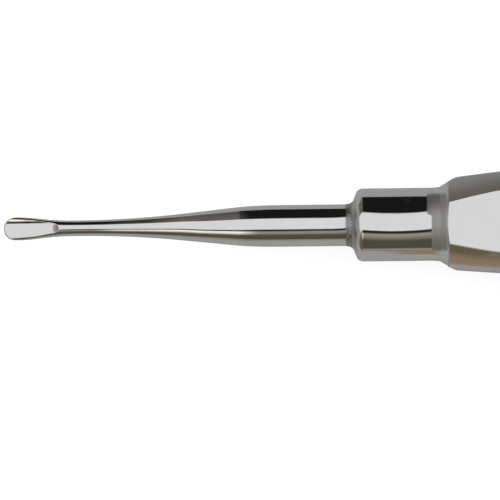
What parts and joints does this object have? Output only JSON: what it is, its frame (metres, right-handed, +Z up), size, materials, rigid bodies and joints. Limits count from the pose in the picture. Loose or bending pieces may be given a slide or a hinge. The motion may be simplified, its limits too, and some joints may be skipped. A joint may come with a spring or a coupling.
{
  "type": "root elevator",
  "caption": "Surgical root elevator: a scooped gouge blade on a tapered shank, brazed into the round collar of a pear-shaped handle ground with flats, all in mirror-polished steel.",
  "frame": {"origin": "middle of the bounding box, on the surface that the instrument lies on", "axes": "+X along the instrument from the blade's tip to the handle's butt; +Z up, out of the blade's scoop"},
  "size_m": [0.155, 0.0172, 0.0168],
  "materials": {
    "blade_steel": "hardened stainless steel, mirror-polished, with a thin ground rim round the scoop",
    "handle_steel": "stainless steel, mirror-polished, with faint scuffs and a dull ring at the brazed nose"
  },
  "bodies": {
    "root": {"working_end": "blade_steel", "handle": "handle_steel"}
  },
  "joints": []
}
